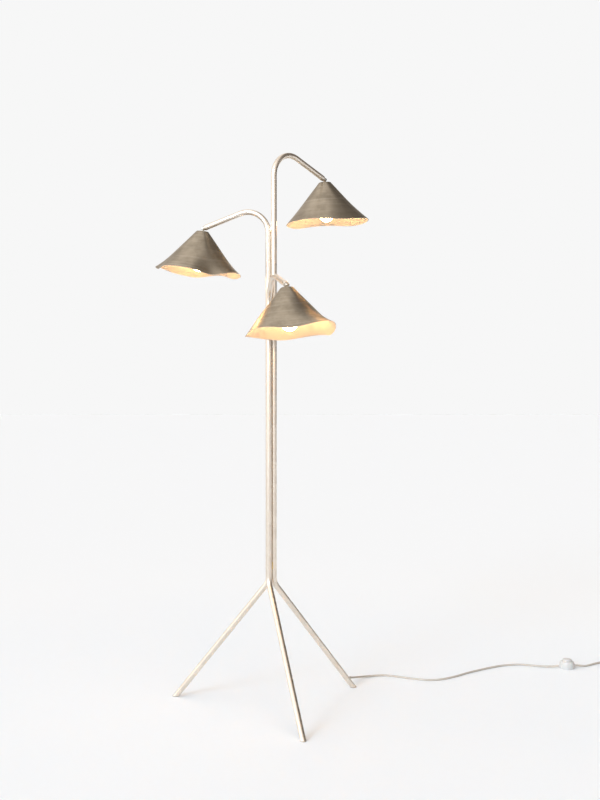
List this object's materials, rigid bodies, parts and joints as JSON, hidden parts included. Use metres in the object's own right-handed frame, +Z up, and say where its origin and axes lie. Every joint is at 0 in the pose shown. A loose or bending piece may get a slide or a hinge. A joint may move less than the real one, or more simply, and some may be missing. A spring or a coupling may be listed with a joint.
{
  "type": "tripod floor lamp",
  "caption": "Tripod floor lamp: bent tubes rise from splayed legs into arms, each with a tilting wavy-rimmed conical shade and ball lamp; cord with foot switch.",
  "frame": {"origin": "centre of the lamp's own footprint box (without the loose cord's pieces), on the floor", "axes": "+Z up along the posts; +X to the right and +Y away from someone facing the low front shade"},
  "size_m": [1.5438, 0.8406, 1.5774],
  "materials": {
    "tube_metal": "satin, warm nickel tone",
    "shade_metal": "brushed, aged",
    "knuckle_metal": "turned, satin",
    "brass": "satin",
    "steel": "satin",
    "holder_plastic": "moulded",
    "opal_glass": "opal, frosted",
    "lead_sheath": "flexible sheath",
    "cord_sheath": "flexible sheath",
    "switch_plastic": "moulded, semi-gloss",
    "glide_plastic": "matt",
    "tie_plastic": "matt"
  },
  "bodies": {
    "stand": {"braze_hub": "brass", "braze_top": "brass", "cord_coil": "cord_sheath", "cord_gland": "cord_sheath", "cord_tie": "tie_plastic", "cord_to_coil": "cord_sheath", "cord_to_switch": "cord_sheath", "glide_front": "glide_plastic", "glide_left": "glide_plastic", "glide_tall": "glide_plastic", "knuckle_fork_front": "knuckle_metal", "knuckle_fork_left": "knuckle_metal", "knuckle_fork_tall": "knuckle_metal", "lead_front": "lead_sheath", "lead_left": "lead_sheath", "lead_tall": "lead_sheath", "pivot_nut_front": "steel", "pivot_nut_left": "steel", "pivot_nut_tall": "steel", "pivot_screw_front": "steel", "pivot_screw_left": "steel", "pivot_screw_tall": "steel", "plug_body": "switch_plastic", "plug_pins": "brass", "stem_front": "tube_metal", "stem_left": "tube_metal", "stem_tall": "tube_metal", "switch_base": "switch_plastic", "switch_cover": "switch_plastic", "switch_spring": "steel", "switch_terminals": "brass"},
    "head_tall": {"knuckle_tongue_tall": "knuckle_metal", "shade_tall": "shade_metal", "shade_nut_tall": "brass", "lampholder_tall": "holder_plastic", "contact_block_tall": "holder_plastic", "socket_shell_tall": "brass", "lamp_cap_tall": "brass", "lamp_glass_tall": "opal_glass", "head_lead_tall": "lead_sheath"},
    "head_left": {"knuckle_tongue_left": "knuckle_metal", "shade_left": "shade_metal", "shade_nut_left": "brass", "lampholder_left": "holder_plastic", "contact_block_left": "holder_plastic", "socket_shell_left": "brass", "lamp_cap_left": "brass", "lamp_glass_left": "opal_glass", "head_lead_left": "lead_sheath"},
    "head_front": {"knuckle_tongue_front": "knuckle_metal", "shade_front": "shade_metal", "shade_nut_front": "brass", "lampholder_front": "holder_plastic", "contact_block_front": "holder_plastic", "socket_shell_front": "brass", "lamp_cap_front": "brass", "lamp_glass_front": "opal_glass", "head_lead_front": "lead_sheath"},
    "switch_button": {"switch_button": "switch_plastic"}
  },
  "joints": [
    {"name": "shade_tilt_tall", "type": "hinge", "parent": "stand", "child": "head_tall", "pos_m": [0.18168, 0.17336, 1.52076], "axis": [0.6884, -0.7254, 0], "range_deg": [-15, 50]},
    {"name": "shade_tilt_left", "type": "hinge", "parent": "stand", "child": "head_left", "pos_m": [-0.17266, 0.10093, 1.36392], "axis": [0.3007, 0.9537, 0], "range_deg": [-15, 50]},
    {"name": "shade_tilt_front", "type": "hinge", "parent": "stand", "child": "head_front", "pos_m": [0.074, -0.16957, 1.17235], "axis": [-0.9673, -0.2499, -0.0436], "range_deg": [-15, 50]},
    {"name": "switch_press", "type": "slide", "parent": "stand", "child": "switch_button", "axis": [0, 0, -1], "range_m": [0, 0.003], "stiffness_N_per_m": 400, "springref_m": -0.002, "deforming": ["switch_spring"]}
  ]
}
